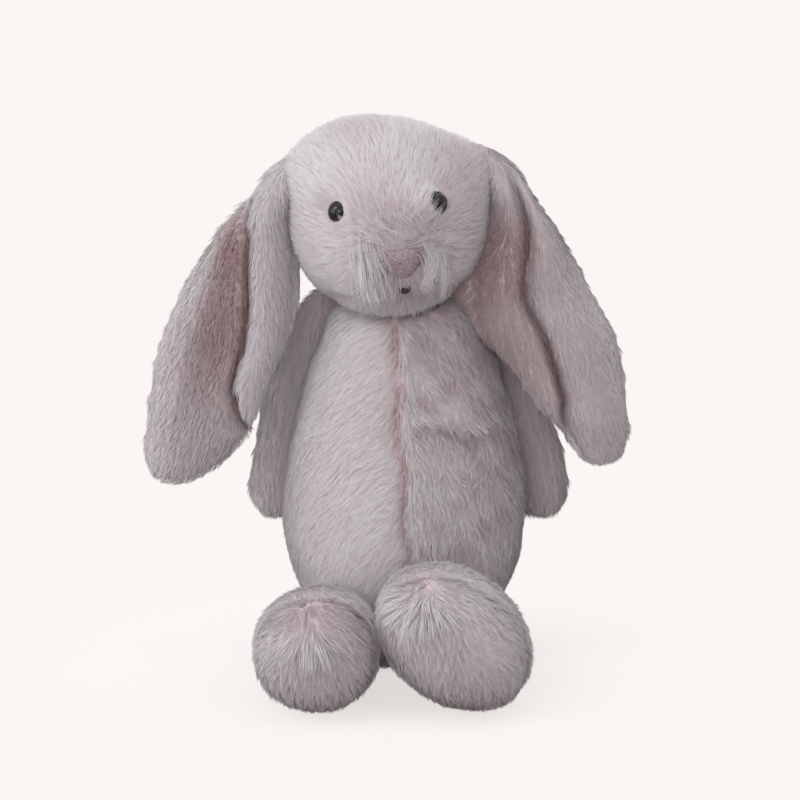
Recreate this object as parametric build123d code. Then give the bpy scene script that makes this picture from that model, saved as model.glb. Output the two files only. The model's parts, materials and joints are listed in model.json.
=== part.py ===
from build123d import *
import math
import os

# Soft toy rabbit, sitting. Millimetres, +Z up, the face looks along -Y.
# The origin is the centre of the flat seat on the ground.
# Left and right are the rabbit's own, so left is +X.

# Driving sizes
CLOTH = 2.0                 # plush backing with the pile's dense base
SEAM_GAP = 0.2              # between two panels along a seam
STUFFING_GAP = 0.3          # between cloth and stuffing

BODY_DEPTH_RATIO = 0.85     # body depth over body width
BODY_OUTLINE = (            # height, half width
    (0, 30), (14, 38), (30, 43), (50, 51), (75, 53), (100, 50), (125, 44), (142, 38.5),
    (151.5, 29),
)

HEAD_CENTRE = (-4, -14, 204)
HEAD_RADIUS = 43
HEAD_ROLL = 5.5             # left side up
HEAD_YAW = -4               # positive turns the face towards the rabbit's left

NECK_Y = -4
NECK_RADIUS = 10.5
NECK_TOP = 157
NECK_RING_RADIUS = 12.7     # clear of the plug when the head tips sideways

EYE_RADIUS = 5.2
EYE_SPREAD = 29             # degrees each side of the face's centre line
EYE_RISE = 7.5              # degrees above the head's equator
EYE_POST_RADIUS = 2
EYE_POST_LENGTH = 13
WASHER_RADIUS = 6.5
WASHER_THICKNESS = 1.4
POST_CLEARANCE = 0.3

NOSE_DROP = 21              # degrees below the head's equator
NOSE_TURN = 5               # degrees towards the rabbit's left, the face is sewn askew
NOSE_WIDTH = 17
NOSE_HEIGHT = 12
NOSE_THICKNESS = 1.5
MOUTH_DROP = 42             # degrees below the head's equator
MOUTH_TURN = 6
MOUTH_WIDTH = 4.2
CHIN_SEAM_HEIGHT = -33      # below the head's centre
HEAD_BACK_SEAM = 12         # behind the head's centre

EAR_HALF_THICKNESS = 6
EAR_Y = HEAD_CENTRE[1]

SHOULDER = (46, 16, 153)    # the arm's pivot, left side
SHOULDER_RING_X = 34.2
SHOULDER_RING_RADIUS = 6.5
THREAD_RADIUS = 0.6

HIP_Y = -41
HIP_Z = 24
SOLE_SEAM_Y = -103

TAIL_RADIUS = 14
TAIL_CENTRE = (0, 57, 40)

LABEL_SIZE = (16, 0.6, 26)
LABEL_CENTRE = (-25.5, 34.5, 21)    # hangs from the right back seam
LABEL_TURN = 35                     # degrees, follows the round of the back

UP = (0, 0, 1)
FORWARD = (0, -1, 0)
BIG = 400                   # longer than anything in the toy

parts = {}


# Shared shapes

def section(centre, half_sizes, facing=UP, long_axis=(1, 0, 0)):
    """One elliptical cross-section, half_sizes along long_axis and square to it."""
    return Plane(origin=centre, x_dir=long_axis, z_dir=facing) * Ellipse(*half_sizes)


def limb(stations, facing=UP, long_axis=(1, 0, 0)):
    """A smooth solid through (centre, half_sizes) stations."""
    return loft([section(c, h, facing, long_axis).face() for c, h in stations])


def inset(stations, amount, facing=UP):
    """The same stations pulled in by amount all round, the two ends as well."""
    pulled = [(c, (h[0] - amount, h[1] - amount)) for c, h in stations]
    first, last = stations[0][0], stations[-1][0]
    along = [b - a for a, b in zip(first, last)]
    sense = 1 if sum(a * f for a, f in zip(along, facing)) > 0 else -1
    for index, direction in ((0, sense), (-1, -sense)):
        centre = tuple(c + f * amount * direction for c, f in zip(stations[index][0], facing))
        pulled[index] = (centre, pulled[index][1])
    return pulled


def half_space(low, high):
    """A box between two corners; None means without limit on that side."""
    low = [-BIG if v is None else v for v in low]
    high = [BIG if v is None else v for v in high]
    size = [b - a for a, b in zip(low, high)]
    middle = [(a + b) / 2 for a, b in zip(low, high)]
    return Pos(*middle) * Box(*size)


def body_stations():
    return [((0, 0, z), (w, w * BODY_DEPTH_RATIO)) for z, w in BODY_OUTLINE]


# Body: four cloth panels, stuffing, pellet pouch

def make_body():
    stations = body_stations()
    skin = limb(stations) - limb(inset(stations, CLOTH))
    gap = SEAM_GAP / 2
    quarters = {
        "body_front_left_panel": ((gap, None, None), (None, -gap, None)),
        "body_front_right_panel": ((None, None, None), (-gap, -gap, None)),
        "body_back_left_panel": ((gap, gap, None), (None, None, None)),
        "body_back_right_panel": ((None, gap, None), (-gap, None, None)),
    }
    for name, corners in quarters.items():
        parts[name] = skin & half_space(*corners)

    pouch_stations = [
        ((0, 0, 3.2), (20, 17)), ((0, 0, 10), (29, 24)), ((0, 0, 22), (32, 27)),
        ((0, 0, 32), (25, 21)),
    ]
    pouch = limb(pouch_stations)
    pellets = limb(inset(pouch_stations, 0.8))
    parts["pellet_pouch"] = pouch - limb(inset(pouch_stations, 0.6))
    parts["seat_pellets"] = pellets
    room = limb(inset(pouch_stations, -STUFFING_GAP))
    parts["body_stuffing"] = limb(inset(stations, CLOTH + STUFFING_GAP)) - room

    parts["care_label"] = Pos(*LABEL_CENTRE) * Rot(0, 0, LABEL_TURN) * Box(*LABEL_SIZE)


# Neck: stuffing plug and ladder-stitch ring

def make_neck():
    bottom = BODY_OUTLINE[-1][0] + STUFFING_GAP
    middle = (bottom + NECK_TOP) / 2
    plug = Cylinder(NECK_RADIUS, NECK_TOP - bottom)
    parts["neck_stuffing"] = Pos(0, NECK_Y, middle) * plug
    ring = Torus(NECK_RING_RADIUS, THREAD_RADIUS)
    parts["neck_seam_thread"] = Pos(0, NECK_Y, middle) * ring


# Head: panels round a ball of stuffing, eyes, nose pad, mouth stitch

def on_head(turn, rise, radius):
    """A frame on the head whose Z points out of the face, turn and rise in degrees."""
    head = Pos(*HEAD_CENTRE) * Rot(0, -HEAD_ROLL, 0) * Rot(0, 0, HEAD_YAW)
    return head * Rot(0, 0, turn) * Rot(-rise, 0, 0) * Rot(90, 0, 0) * Pos(0, 0, radius)


def make_eye(side, turn):
    foot = on_head(turn, EYE_RISE, HEAD_RADIUS)
    dome = Sphere(EYE_RADIUS) & half_space((None, None, 0.4), (None, None, None))
    post = Pos(0, 0, 0.6 - EYE_POST_LENGTH / 2) * Cylinder(EYE_POST_RADIUS, EYE_POST_LENGTH)
    parts[side + "_eye"] = foot * (dome + post)
    hole = Cylinder(EYE_POST_RADIUS, BIG / 4)
    washer = Cylinder(WASHER_RADIUS, WASHER_THICKNESS) - hole
    depth = CLOTH + 1.2 + WASHER_THICKNESS / 2
    parts[side + "_eye_washer"] = foot * Pos(0, 0, -depth) * washer

    post_room = Pos(0, 0, -EYE_POST_LENGTH / 2)
    post_room = post_room * Cylinder(EYE_POST_RADIUS + POST_CLEARANCE, EYE_POST_LENGTH + 4)
    washer_room = Pos(0, 0, -depth)
    washer_room = washer_room * Cylinder(WASHER_RADIUS + 0.3, WASHER_THICKNESS + 0.6)
    return foot * post_room, foot * washer_room


def make_nose():
    frame = on_head(NOSE_TURN, -NOSE_DROP, 0)
    half = NOSE_WIDTH / 2
    outline = Polygon((-half, NOSE_HEIGHT / 2), (half, NOSE_HEIGHT / 2), (0, -NOSE_HEIGHT / 2))
    outline = fillet(outline.vertices(), 2.4)
    prism = extrude(outline, BIG / 4, dir=UP)
    inner = HEAD_RADIUS + 0.1
    cap = Sphere(inner + NOSE_THICKNESS) - Sphere(inner)
    parts["nose_pad"] = frame * (prism & cap)


def make_mouth():
    frame = on_head(MOUTH_TURN, -MOUTH_DROP, HEAD_RADIUS + THREAD_RADIUS + 0.1)
    thread = Rot(0, 90, 0) * Cylinder(THREAD_RADIUS, MOUTH_WIDTH)
    parts["mouth_stitch"] = frame * thread


def make_head():
    ball = Sphere(HEAD_RADIUS) - Sphere(HEAD_RADIUS - CLOTH)
    gap = SEAM_GAP / 2
    back = HEAD_BACK_SEAM
    chin = CHIN_SEAM_HEIGHT
    frame = Pos(*HEAD_CENTRE) * Rot(0, -HEAD_ROLL, 0) * Rot(0, 0, HEAD_YAW)
    shells = {
        "head_left_panel": ((gap, None, chin + gap), (None, back - gap, None)),
        "head_right_panel": ((None, None, chin + gap), (-gap, back - gap, None)),
        "chin_panel": ((None, None, None), (None, back - gap, chin - gap)),
        "head_back_panel": ((None, back + gap, None), (None, None, None)),
    }
    post_rooms = []
    washer_rooms = []
    for side, turn in (("left", EYE_SPREAD), ("right", -EYE_SPREAD)):
        post_room, washer_room = make_eye(side, turn)
        post_rooms.append(post_room)
        washer_rooms.append(washer_room)
    for name, corners in shells.items():
        panel = frame * (ball & half_space(*corners))
        for room in post_rooms:
            panel = panel - room
        parts[name] = panel
    stuffing = Pos(*HEAD_CENTRE) * Sphere(HEAD_RADIUS - CLOTH - STUFFING_GAP)
    for room in post_rooms + washer_rooms:
        stuffing = stuffing - room
    parts["head_stuffing"] = stuffing
    make_nose()
    make_mouth()


# Ears: two plies of plush each, the outer ply behind the inner ply

EAR_OUTLINES = {            # height, centre x, half width
    "right": (
        (234, -48, 5), (226, -54, 9), (213, -62, 12), (190, -71, 20), (167, -76, 25),
        (144, -83, 26), (121, -89, 24), (102, -95, 20), (90, -102, 11), (86, -104, 6),
    ),
    "left": (
        (235, 39, 5), (227, 45, 8), (213, 51, 11), (190, 57, 18), (167, 59, 26),
        (144, 70, 25), (121, 79, 19), (106, 86, 13), (97, 88, 8), (94, 89, 5),
    ),
}


def make_ear(side):
    outline = EAR_OUTLINES[side]
    stations = []
    for z, x, w in outline:
        thickness = min(EAR_HALF_THICKNESS, w * 0.8)
        stations.append(((x, EAR_Y, z), (w, thickness)))
    ear = limb(stations)
    gap = SEAM_GAP / 2
    parts[side + "_ear_inner_ply"] = ear & half_space((None,) * 3, (None, EAR_Y - gap, None))
    parts[side + "_ear_outer_ply"] = ear & half_space((None, EAR_Y + gap, None), (None,) * 3)


# Arms: cloth tube with stuffing, hanging behind the ears

def make_arm(side, sign):
    x, y, z = SHOULDER
    stations = [
        ((sign * x, y, z + 7), (5.5, 5.5)), ((sign * x, y, z), (9.5, 9.5)),
        ((sign * 51, 21, 130), (11.5, 11.5)), ((sign * 57, 25, 105), (12, 12)),
        ((sign * 62, 28, 80), (12.5, 12.5)), ((sign * 63, 28, 68), (10.5, 10.5)),
        ((sign * 63, 28, 62), (6, 6)),
    ]
    inner = inset(stations, CLOTH)
    parts[side + "_arm_cloth"] = limb(stations) - limb(inner)
    parts[side + "_arm_stuffing"] = limb(inset(stations, CLOTH + STUFFING_GAP))
    ring = Rot(0, 90, 0) * Torus(SHOULDER_RING_RADIUS, THREAD_RADIUS)
    parts[side + "_shoulder_stitching"] = Pos(sign * SHOULDER_RING_X, y, z) * ring


# Legs: cloth leg with a sole panel, stretched forward

FEET = {                    # hip x, foot centre x, foot centre z, half length, half width, lean
    "right": (-31, -35.5, 27, 24, 23.5, 90),
    "left": (27, 19.5, 32, 33, 24, 139),
}


def make_leg(side):
    hip_x, foot_x, foot_z, length, width, lean = FEET[side]
    angle = math.radians(lean)
    long_axis = (math.cos(angle), 0, math.sin(angle))
    stations = [
        ((hip_x, HIP_Y - 3, HIP_Z), (15, 15)),
        ((hip_x * 0.8 + foot_x * 0.2, -62, HIP_Z), (17.5, 17.5)),
        ((hip_x * 0.3 + foot_x * 0.7, -76, foot_z), (length * 0.85, width * 0.86)),
        ((foot_x, -90, foot_z), (length, width)),
        ((foot_x, -104, foot_z), (length * 0.95, width * 0.95)),
        ((foot_x, -113, foot_z), (length * 0.75, width * 0.75)),
        ((foot_x, -117, foot_z), (length * 0.5, width * 0.5)),
    ]
    skin = limb(stations, FORWARD, long_axis)
    skin = skin - limb(inset(stations, CLOTH, FORWARD), FORWARD, long_axis)
    gap = SEAM_GAP / 2
    parts[side + "_leg_cloth"] = skin & half_space((None, SOLE_SEAM_Y + gap, None), (None,) * 3)
    parts[side + "_sole"] = skin & half_space((None,) * 3, (None, SOLE_SEAM_Y - gap, None))
    inner = inset(stations, CLOTH + STUFFING_GAP, FORWARD)
    parts[side + "_leg_stuffing"] = limb(inner, FORWARD, long_axis)


# Tail

def make_tail():
    place = Pos(*TAIL_CENTRE)
    parts["tail_cloth"] = place * (Sphere(TAIL_RADIUS) - Sphere(TAIL_RADIUS - CLOTH))
    parts["tail_stuffing"] = place * Sphere(TAIL_RADIUS - CLOTH - STUFFING_GAP)


make_body()
make_neck()
make_head()
for side in ("left", "right"):
    make_ear(side)
    make_leg(side)
make_arm("left", 1)
make_arm("right", -1)
make_tail()

os.makedirs("parts", exist_ok=True)
for name, shape in parts.items():
    export_step(shape, "parts/" + name + ".step")
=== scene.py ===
import json
import math
from functools import partial

import bmesh
import bpy
import numpy as np
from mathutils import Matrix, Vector, kdtree


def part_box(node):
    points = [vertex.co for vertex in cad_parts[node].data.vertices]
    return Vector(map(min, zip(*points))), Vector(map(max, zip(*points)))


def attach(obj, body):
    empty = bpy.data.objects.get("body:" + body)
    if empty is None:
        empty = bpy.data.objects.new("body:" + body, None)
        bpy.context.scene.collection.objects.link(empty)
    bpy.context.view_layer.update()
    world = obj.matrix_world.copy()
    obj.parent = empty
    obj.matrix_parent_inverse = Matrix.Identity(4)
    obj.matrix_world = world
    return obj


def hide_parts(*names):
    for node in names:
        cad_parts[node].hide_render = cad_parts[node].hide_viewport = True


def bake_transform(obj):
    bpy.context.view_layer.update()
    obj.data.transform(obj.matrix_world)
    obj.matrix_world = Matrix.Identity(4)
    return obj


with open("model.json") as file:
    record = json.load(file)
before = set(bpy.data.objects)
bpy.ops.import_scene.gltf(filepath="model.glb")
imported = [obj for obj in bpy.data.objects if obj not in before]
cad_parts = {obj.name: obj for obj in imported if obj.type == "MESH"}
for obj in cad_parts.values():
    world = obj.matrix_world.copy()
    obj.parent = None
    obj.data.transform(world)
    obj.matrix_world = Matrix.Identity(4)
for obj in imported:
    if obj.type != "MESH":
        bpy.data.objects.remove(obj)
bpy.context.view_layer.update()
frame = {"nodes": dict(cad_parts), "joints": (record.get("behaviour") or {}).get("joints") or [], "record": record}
scene = bpy.context.scene

MM = 0.001

# Driving sizes, millimetres
VOXEL = 3.0                 # skin mesh before it is puffed
PANEL_DEPTH = 2.3           # of the CAD head's plush, outside its stuffing
SEAM_PIN = 2.2              # skin this near a seam stays sewn down
CLOTH_THICKNESS = 1.2
STRAND_RADIUS = 0.115
STRANDS_PER_CM2 = 200
TUFT_SIZE = 2.0             # mean distance between tuft centres
FULLNESS = {"body": 4.6, "head": 3.4, "tail": 3.6, "ear": 2.4, "arm": 3.6, "leg": 4.6}
SWELLED = 0.8               # share of the fullness that is there before the cloth is puffed
PUFF_FRAMES = 20
PUFF_PRESSURE = 80.0        # a small skin needs far more than a cushion to swell as much
CLOTH_STIFFNESS = 0.5
PUFF_CAP = 1.4
CLOTH_MASS = 0.01


# ------ frame values

def box_mm(node):
    low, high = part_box(node)
    return np.array(low) / MM, np.array(high) / MM


def centre_mm(node):
    low, high = box_mm(node)
    return (low + high) / 2


def joint_mm(name):
    joint = next(j for j in frame["joints"] if j["name"] == name)
    return np.array(joint["pos_m"]) / MM


def unit(v):
    v = np.asarray(v, float)
    return v / np.maximum(np.linalg.norm(v, axis=-1, keepdims=True), 1e-9)


HEAD = centre_mm("head_stuffing")
HEAD_R = (box_mm("head_stuffing")[1] - box_mm("head_stuffing")[0])[0] / 2 + PANEL_DEPTH
NOSE = centre_mm("nose_pad")
MOUTH = centre_mm("mouth_stitch")
EYE = {s: centre_mm(s + "_eye") for s in ("left", "right")}
HEAD_X = unit(EYE["left"] - EYE["right"])
HEAD_FORWARD = unit((EYE["left"] + EYE["right"]) / 2 - HEAD)
HEAD_UP = unit(np.cross(HEAD_FORWARD, HEAD_X))
EYE_TILT = math.radians(7.5)                 # the eyes sit this far above the head's equator
HEAD_FORWARD = HEAD_FORWARD * math.cos(EYE_TILT) - HEAD_UP * math.sin(EYE_TILT)
HEAD_UP = unit(np.cross(HEAD_FORWARD, HEAD_X))
EAR_Y = box_mm("left_ear_outer_ply")[0][1]
SOLE_Y = box_mm("left_sole")[1][1]
CHIN_Z = -33.0              # the chin seam, from the head's middle
HEAD_BACK = 12.0            # the back seam, behind the head's middle
COLLAR_Z = (138, 149)       # where the body's shoulders rise to meet the head
RIDGE_Z = 112               # the rough ridge across the left half of the belly
LEG_ROOT_Y = (-62, -46)     # where a leg runs into the body
# Fluff beside each eye: how far in, how far down, its height, and the dip on the outer side
EYE_FLUFF = {"left": (2.2, 2.2, 6.8, 3.4), "right": (7.5, 0, 1.5, 4.2)}
EAR_TUCK = {"left": 13, "right": 3.5}       # how far an ear's inner edge goes behind the head
LOBE_HEIGHT = {"left": 5.5, "right": 7.0}   # of the rolled inner lobe


# ------ small helpers

def smooth(x, low, high):
    """0 below low, 1 above high, smooth between."""
    t = np.clip((x - low) / (high - low), 0, 1)
    return t * t * (3 - 2 * t)


def wobble(p, size, seed):
    """Smooth noise of about -1 to 1 at points p, with features of the given size."""
    rng = np.random.default_rng(seed)
    total = np.zeros(len(p))
    for _ in range(7):
        direction = unit(rng.normal(size=3))
        wave = 2 * math.pi / (size * rng.uniform(1.2, 2.6))
        total += np.sin(p @ direction * wave + rng.uniform(0, 6.28))
    return total / 2.6


def link(obj):
    scene.collection.objects.link(obj)
    return obj


def object_of(bm, name):
    """Turns a bmesh into a linked object."""
    mesh = bpy.data.meshes.new(name)
    bm.to_mesh(mesh)
    bm.free()
    return link(bpy.data.objects.new(name, mesh))


def read(items, key, width, kind=np.float32):
    values = np.empty(len(items) * width, kind)
    items.foreach_get(key, values)
    return values.reshape(-1, width)


def points_of(mesh):
    return read(mesh.vertices, "co", 3).astype(float) / MM


def set_points(mesh, p):
    mesh.vertices.foreach_set("co", (p * MM).astype(np.float32).ravel())
    mesh.update()


def normals_of(mesh):
    return read(mesh.vertices, "normal", 3).astype(float)


def edges_of(mesh):
    return read(mesh.edges, "vertices", 2, np.int32)


def triangles_of(mesh):
    return read(mesh.polygons, "vertices", 3, np.int32)


def relax(p, edges, rounds, share=0.5):
    """Laplacian smoothing."""
    count = np.bincount(edges.ravel(), minlength=len(p))[:, None]
    for _ in range(rounds):
        total = np.zeros_like(p)
        for a, b in ((0, 1), (1, 0)):
            for axis in range(3):
                total[:, axis] += np.bincount(edges[:, a], p[edges[:, b], axis], len(p))
        p = p + share * (total / np.maximum(count, 1) - p)
    return p


def apply_modifiers(obj):
    graph = bpy.context.evaluated_depsgraph_get()
    graph.update()
    mesh = bpy.data.meshes.new_from_object(obj.evaluated_get(graph))
    old = obj.data
    obj.modifiers.clear()
    obj.data = mesh
    bpy.data.meshes.remove(old)
    return obj


# ------ base skins

def keep_biggest(bm):
    """Deletes every loose part but the one with the most vertices."""
    left = set(bm.verts)
    best = set()
    while left:
        part = {left.pop()}
        front = list(part)
        while front:
            v = front.pop()
            for e in v.link_edges:
                other = e.other_vert(v)
                if other in left:
                    left.discard(other)
                    part.add(other)
                    front.append(other)
        if len(part) > len(best):
            best = part
    bmesh.ops.delete(bm, geom=[v for v in bm.verts if v not in best], context="VERTS")


def skin_from(name, *nodes, voxel=VOXEL, rounds=6):
    """A closed, evenly meshed skin round copies of CAD nodes."""
    bm = bmesh.new()
    for n in nodes:
        bm.from_mesh(frame["nodes"][n].data)
    obj = object_of(bm, name)
    remesh = obj.modifiers.new("Remesh", "REMESH")
    remesh.mode = "VOXEL"
    remesh.voxel_size = voxel * MM
    apply_modifiers(obj)
    bm = bmesh.new()
    bm.from_mesh(obj.data)
    keep_biggest(bm)
    bmesh.ops.recalc_face_normals(bm, faces=bm.faces)
    bm.to_mesh(obj.data)
    bm.free()
    set_points(obj.data, relax(points_of(obj.data), edges_of(obj.data), rounds))
    return obj


def ball_skin(name, centre, radius):
    bm = bmesh.new()
    bmesh.ops.create_icosphere(bm, subdivisions=5, radius=radius * MM)
    bmesh.ops.translate(bm, verts=bm.verts, vec=Vector(centre * MM))
    return object_of(bm, name)


def reach(p, root, pull, radius):
    """Points near root are drawn along pull, less the farther they are."""
    share = 1 - smooth(np.linalg.norm(p - root, axis=1), 0, radius)
    return p + share[:, None] * np.asarray(pull, float)


def swell(obj, amount):
    p = points_of(obj.data)
    set_points(obj.data, p + normals_of(obj.data) * amount)


def bump_on_head(d, towards, height, spread):
    """Height of a round mound on the head; d are unit directions, spread is in degrees."""
    angle = np.degrees(np.arccos(np.clip(d @ unit(towards), -1, 1)))
    return height * np.exp(-(angle / spread) ** 2)


def head_skin():
    obj = ball_skin("head_skin", HEAD, HEAD_R - PANEL_DEPTH)
    p = points_of(obj.data)
    d = unit(p - HEAD)
    muzzle = unit(NOSE - HEAD) + 0.55 * unit(MOUTH - HEAD)
    rise = bump_on_head(d, muzzle, 4.5, 25)
    for side, sign in (("left", 1), ("right", -1)):
        cheek = unit(muzzle) + sign * 0.42 * HEAD_X - 0.12 * HEAD_UP
        rise += bump_on_head(d, cheek, 2.0, 18)
        eye = EYE[side] - HEAD
        shift, drop, height, dip = EYE_FLUFF[side]
        rise += bump_on_head(d, eye - sign * shift * HEAD_X - drop * HEAD_UP, height, 8.5)
        rise -= bump_on_head(d, eye + sign * 2.5 * HEAD_X, dip, 8)
        ear = joint_mm(side + "_ear_lift") - HEAD
        rise += bump_on_head(d, ear, 7.5, 20) * np.exp(-((p[:, 1] - EAR_Y) / 24) ** 2)
    brow = HEAD_UP - 0.5 * HEAD_X
    rise += bump_on_head(d, brow, 4.6, 22)
    set_points(obj.data, p + d * rise[:, None] + np.array([-3.0, 0, 0]))
    return obj


def body_skin():
    return skin_from("body_skin", "body_stuffing")


def ear_edges(side):
    mesh = points_of(frame["nodes"][side + "_ear_outer_ply"].data)
    levels = np.linspace(mesh[:, 2].min() + 1, mesh[:, 2].max() - 1, 26)
    rows = [mesh[np.abs(mesh[:, 2] - level) < 4.5, 0] for level in levels]
    return levels, [r.min() for r in rows], [r.max() for r in rows]


EAR_EDGES = {s: ear_edges(s) for s in ("left", "right")}
FOLD = {                    # (how far down the ear, place of the lengthwise fold across it)
    "right": ((0.1, 0.3), (0.25, -0.1), (0.45, -0.28), (0.6, -0.4), (0.71, -0.38),
              (0.79, -0.62), (0.9, -1.2)),
    "left": ((0.1, -0.03), (0.34, -0.12), (0.46, -0.21), (0.59, -0.1), (0.79, -0.25), (0.9, -0.6)),
}


def ear_across(side, p):
    """Across the ear (-1 inner edge, 1 outer edge), share of the way down, millimetres past the
    lengthwise fold, and the widths of the lobes inside and outside it."""
    levels, low, high = EAR_EDGES[side]
    x0, x1 = np.interp(p[:, 2], levels, low), np.interp(p[:, 2], levels, high)
    half = np.maximum((x1 - x0) / 2, 3)
    sign = 1 if side == "left" else -1
    across = np.clip((p[:, 0] - (x0 + x1) / 2) / half * sign, -1.3, 1.3)
    down = (levels[-1] - p[:, 2]) / (levels[-1] - levels[0])
    place = np.interp(down, *zip(*FOLD[side]))
    return across, down, (across - place) * half, (place + 1) * half, (1 - place) * half


def ear_skin(side):
    obj = skin_from(side + "_ear_skin", side + "_ear_outer_ply", side + "_ear_inner_ply",
                    voxel=2.6, rounds=4)
    p = points_of(obj.data)
    inward = 1 if side == "right" else -1
    across, down = ear_across(side, p)[:2]
    top = 1 - smooth(down, 0.0, 0.3)
    p[:, 0] += inward * 4.5 * top
    p[:, 2] -= 1.0 * top
    tucked = smooth(-across, -0.2, 1.0) * smooth(down, 0.12, 0.28) * (1 - smooth(down, 0.5, 0.7))
    p[:, 0] += inward * EAR_TUCK[side] * tucked
    p[:, 0] -= inward * 2.0 * smooth(across, 0.2, 1.0) * smooth(down, 0.4, 0.6)
    shoulder = smooth(down, 0.05, 0.15) * (1 - smooth(down, 0.25, 0.45))
    p[:, 0] += inward * 3.0 * smooth(across, 0.2, 1.0) * shoulder
    p[:, 1] += 3 * tucked
    root = joint_mm(side + "_ear_lift")
    p = reach(p, root + (inward * 6, 0, 4), (inward * 9, 2, 3), 17)
    set_points(obj.data, relax(p, edges_of(obj.data), 2))
    return obj


def arm_skin(side):
    obj = skin_from(side + "_arm_skin", side + "_arm_stuffing")
    p = points_of(obj.data)
    pivot = joint_mm(side + "_arm_lift")
    inward = -1 if side == "left" else 1
    p = reach(p, pivot + (inward * 9, 0, 6), (inward * 14, -5, 17), 26)
    p[:, 0] += 2.2 * smooth(pivot[2] - p[:, 2], 38, 60)
    set_points(obj.data, relax(p, edges_of(obj.data), 3))
    return obj


def leg_skin(side):
    obj = skin_from(side + "_leg_skin", side + "_leg_stuffing")
    p = points_of(obj.data)
    pivot = joint_mm(side + "_leg_bend")
    root = smooth(p[:, 1], *LEG_ROOT_Y)
    p[:, 1] += 14 * root
    p[:, 2] += 3 * root * unit(p - pivot)[:, 2]
    outward = 1 if side == "left" else -1
    p[:, 0] += outward * 2.4 * smooth(outward * (p[:, 0] - centre_mm(side + "_sole")[0]), 2, 16)
    set_points(obj.data, relax(p, edges_of(obj.data), 3))
    return obj


def tail_skin():
    low, high = box_mm("tail_stuffing")
    return ball_skin("tail_skin", (low + high) / 2, (high - low)[0] / 2)


# ------ finer shape, after puffing

def shape_ear(side, p, n):
    """The ear's front is folded lengthwise into a rolled inner lobe and a wide outer lobe."""
    _, down, past, inner, outer = ear_across(side, p)
    front = smooth(EAR_Y - p[:, 1], -1, 3)
    roll = np.clip(1 - (past / np.maximum(inner / 2, 2) + 1) ** 2, 0, 1) ** 0.5
    rise = np.where(past < 0, LOBE_HEIGHT[side] * roll, 0)
    wide = np.clip(past / np.maximum(outer, 4), 0, 1)
    if side == "right":
        dish = -2.6 * np.sin(np.clip(wide / 0.7, 0, 1) * math.pi) ** 2
        dish = dish * (1 - smooth(down, 0.7, 0.95))
    else:
        dish = 4.5 * np.clip(1 - (wide * 2 - 1) ** 2, 0, 1) ** 0.5
    rise += np.where(past >= 0, dish, 0) * (1 - smooth(down, 0.85, 1.0))
    fade = smooth(down, 0.03, 0.16)
    end = 1 - smooth(down, 0.82, 0.92)
    crease = 5.5 * np.exp(-(past / 1.9) ** 2) * end
    p = p.copy()
    p[:, 1] -= front * fade * (rise - crease)
    return p


def shape_body(p, n):
    """A parting down the front and a collar that follows the underside of the head."""
    front = smooth(-p[:, 1], 4, 14)
    p = p - n * (1.2 * np.exp(-(parting_side(p) / 1.8) ** 2) * front)[:, None]
    p = p + n * (2.0 * on_ridge(p, 11, 1.0))[:, None]
    neck = joint_mm("head_turn")
    away = np.hypot(p[:, 0] - neck[0], p[:, 1] - neck[1])
    across = np.hypot(p[:, 0] - HEAD[0], p[:, 1] - HEAD[1])
    under = HEAD[2] - np.sqrt(np.maximum(HEAD_R ** 2 - across ** 2, 100)) - 1.0
    under = np.minimum(under, HEAD[2] + CHIN_Z)
    share = (1 - smooth(away, 20, 40)) * smooth(p[:, 2], *COLLAR_Z)
    p[:, 2] += share * np.maximum(under - p[:, 2], 0)
    return p


def shape_head(p, n):
    h = p - HEAD
    ahead = smooth(h @ HEAD_FORWARD, -HEAD_BACK, 0)
    chin = np.exp(-((h @ HEAD_UP - CHIN_Z) / 2.5) ** 2) * ahead
    back = np.exp(-((h @ HEAD_FORWARD + HEAD_BACK) / 2.5) ** 2)
    return p - n * (1.0 * chin + 0.8 * back)[:, None]


def shape_sole(p, n):
    return p - n * (1.6 * np.exp(-((p[:, 1] - SOLE_Y) / 2.2) ** 2))[:, None]


def finish_shape(part, obj):
    p, n = points_of(obj.data), normals_of(obj.data)
    if part == "body":
        p = shape_body(p, n)
    elif part == "head":
        p = shape_head(p, n)
    elif part.endswith("ear"):
        p = shape_ear(part[:-4], p, n)
    elif part.endswith("leg"):
        p = shape_sole(p, n)
    p = relax(p, edges_of(obj.data), 1, 0.4)
    p[:, 2] = np.maximum(p[:, 2], 0.7)
    set_points(obj.data, p)


# ------ puffing

def seam_distance(part, p):
    """Distance to the nearest sewn line of a part, in millimetres."""
    x, y = p[:, 0], p[:, 1]
    if part == "body":
        return np.minimum(np.abs(x), np.abs(y))
    if part == "head":
        h = p - HEAD
        side = np.where(h @ HEAD_UP > CHIN_Z, np.abs(h @ HEAD_X), 99)
        side = np.where(h @ HEAD_FORWARD > -HEAD_BACK, side, 99)
        chin = np.where(h @ HEAD_FORWARD > -HEAD_BACK, np.abs(h @ HEAD_UP - CHIN_Z), 99)
        back = np.abs(h @ HEAD_FORWARD + HEAD_BACK)
        return np.minimum(np.minimum(side, chin), back)
    if part.endswith("ear"):
        return np.where(np.abs(ear_across(part[:-4], p)[0]) > 0.9, 0.0, 9.0)
    if part.endswith("leg"):
        return np.abs(y - SOLE_Y)
    return np.full(len(p), 99.0)


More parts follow.
